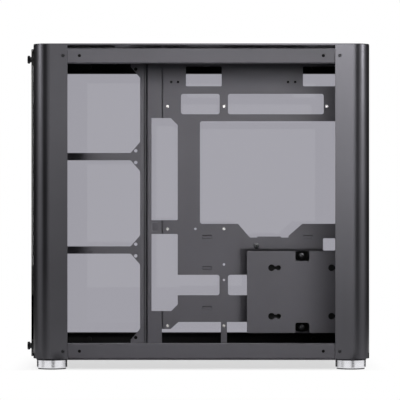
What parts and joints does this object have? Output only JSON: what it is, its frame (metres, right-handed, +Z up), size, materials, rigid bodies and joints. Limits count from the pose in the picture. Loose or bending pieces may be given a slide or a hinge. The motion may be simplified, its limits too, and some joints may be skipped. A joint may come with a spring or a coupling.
{
  "type": "computer case",
  "caption": "Open-sided dual-chamber computer case: rounded aluminium columns, steel motherboard tray, fan bracket, drive plate, tinted glass panels and metal feet.",
  "frame": {"origin": "middle of the footprint, on the surface that the feet stand on", "axes": "+X to the open right side, +Y to the rear, +Z up"},
  "size_m": [0.285, 0.4296, 0.407],
  "materials": {
    "column_aluminium": "dark anodised, satin",
    "black_sheet": "fine powder coat",
    "foot_metal": "turned, satin",
    "rubber": "matte",
    "tinted_glass": "grey tint, polished",
    "bright_steel": "nickel plated",
    "black_screw": "black oxide",
    "filter_plastic": "matte",
    "black_plastic": "fine grain",
    "circuit_board": "solder mask",
    "button_metal": "spun, anodised"
  },
  "bodies": {
    "case": {"column_front_right": "column_aluminium", "column_rear_right": "column_aluminium", "column_front_left": "column_aluminium", "column_rear_left": "column_aluminium", "column_screws": "black_screw", "rail_right_bottom": "black_sheet", "rail_left_bottom": "black_sheet", "rail_front_bottom": "black_sheet", "rail_right_top": "black_sheet", "rail_left_top": "black_sheet", "rail_front_top": "black_sheet", "snap_sockets": "black_plastic", "foot_front_right": "foot_metal", "foot_pad_front_right": "rubber", "foot_rear_right": "foot_metal", "foot_pad_rear_right": "rubber", "foot_front_left": "foot_metal", "foot_pad_front_left": "rubber", "foot_rear_left": "foot_metal", "foot_pad_rear_left": "rubber", "bottom_panel": "black_sheet", "foot_screws": "black_screw", "top_filter": "filter_plastic", "bottom_filter": "filter_plastic", "top_panel": "column_aluminium", "top_fan_bracket": "black_sheet", "port_housing": "black_plastic", "port_board": "circuit_board", "usb_c_port": "bright_steel", "usb_a_port_front": "bright_steel", "usb_a_port_rear": "bright_steel", "audio_jack": "black_plastic", "power_switch": "black_plastic", "motherboard_tray": "black_sheet", "motherboard_standoffs": "bright_steel", "tray_upright": "black_sheet", "side_fan_bracket": "black_sheet", "drive_plate": "black_sheet", "drive_plate_screws": "black_screw", "rear_panel": "black_sheet", "slot_cover_1": "black_sheet", "slot_cover_2": "black_sheet", "slot_cover_3": "black_sheet", "slot_cover_4": "black_sheet", "slot_cover_5": "black_sheet", "slot_cover_6": "black_sheet", "slot_cover_7": "black_sheet", "slot_cover_screws": "black_screw", "psu_plate": "black_sheet", "psu_plate_screws": "black_screw", "left_glass": "tinted_glass", "left_glass_studs": "bright_steel", "front_glass": "tinted_glass", "front_thumbscrews": "black_screw", "front_grommets": "rubber"},
    "button": {"power_button": "button_metal"}
  },
  "joints": [
    {"name": "power_press", "type": "slide", "parent": "case", "child": "button", "axis": [0, 0, -1], "range_m": [0, 0.0012], "stiffness_N_per_m": 400}
  ]
}
